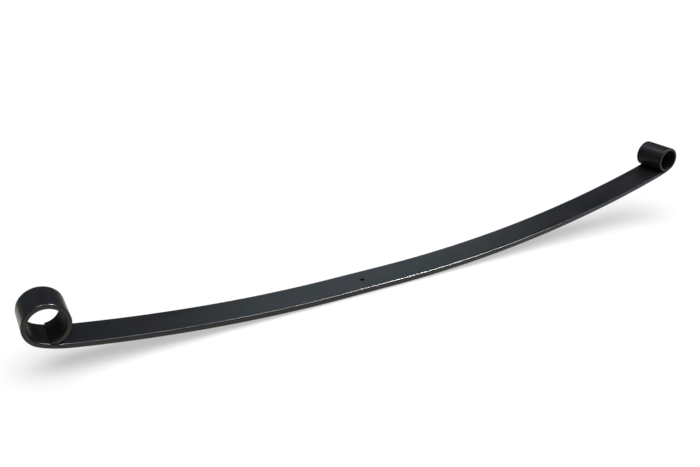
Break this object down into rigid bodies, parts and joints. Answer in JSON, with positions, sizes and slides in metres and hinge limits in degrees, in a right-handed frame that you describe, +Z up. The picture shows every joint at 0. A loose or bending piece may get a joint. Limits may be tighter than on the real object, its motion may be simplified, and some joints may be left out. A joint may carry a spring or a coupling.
{
  "type": "leaf spring",
  "caption": "Main leaf of a vehicle leaf spring: one arched, tapered steel strip with an upturned eye rolled at each end and a centre-bolt hole through its seat.",
  "frame": {"origin": "bottom centre of the leaf's box: midway between the two eyes' ends and across the width, on the plane of the seat's lower face", "axes": "+X along the leaf, from the large eye to the small eye; +Y across the leaf, along the eyes' bores; +Z up, square to the seat, towards the eyes"},
  "size_m": [1.2802, 0.06, 0.1474],
  "materials": {
    "black_paint": "satin black paint on spring steel"
  },
  "bodies": {
    "seat": {"centre_seat": "black_paint"},
    "short_inner": {"short_arm_inner": "black_paint"},
    "short_middle": {"short_arm_middle": "black_paint"},
    "short_end": {"short_arm_outer": "black_paint", "large_eye": "black_paint"},
    "long_inner": {"long_arm_inner": "black_paint"},
    "long_middle": {"long_arm_middle": "black_paint"},
    "long_end": {"long_arm_outer": "black_paint", "small_eye": "black_paint"}
  },
  "joints": [
    {"name": "short_arm_flex_1", "type": "hinge", "parent": "seat", "child": "short_inner", "pos_m": [-0.22766, 0, 0.00623], "axis": [0, -1, 0], "range_deg": [-1.5, 4.2], "stiffness_Nm_per_rad": 6360},
    {"name": "short_arm_flex_2", "type": "hinge", "parent": "short_inner", "child": "short_middle", "pos_m": [-0.38599, 0, 0.01608], "axis": [0, -1, 0], "range_deg": [-1.1, 3], "stiffness_Nm_per_rad": 5350},
    {"name": "short_arm_flex_3", "type": "hinge", "parent": "short_middle", "child": "short_end", "pos_m": [-0.54341, 0, 0.03577], "axis": [0, -1, 0], "range_deg": [-0.55, 1.5], "stiffness_Nm_per_rad": 3660},
    {"name": "long_arm_flex_1", "type": "hinge", "parent": "seat", "child": "long_inner", "pos_m": [0.06546, 0, 0.00765], "axis": [0, 1, 0], "range_deg": [-1.5, 5.8], "stiffness_Nm_per_rad": 4360},
    {"name": "long_arm_flex_2", "type": "hinge", "parent": "long_inner", "child": "long_middle", "pos_m": [0.29206, 0, 0.02878], "axis": [0, 1, 0], "range_deg": [-1.25, 4.8], "stiffness_Nm_per_rad": 3160},
    {"name": "long_arm_flex_3", "type": "hinge", "parent": "long_middle", "child": "long_end", "pos_m": [0.51572, 0, 0.07085], "axis": [0, 1, 0], "range_deg": [-0.9, 3.45], "stiffness_Nm_per_rad": 1470}
  ],
  "couplings": [
    {"joint": "short_arm_flex_2", "follows": "short_arm_flex_1", "ratio": 0.713},
    {"joint": "short_arm_flex_3", "follows": "short_arm_flex_1", "ratio": 0.347},
    {"joint": "long_arm_flex_2", "follows": "long_arm_flex_1", "ratio": 0.827},
    {"joint": "long_arm_flex_3", "follows": "long_arm_flex_1", "ratio": 0.593}
  ]
}
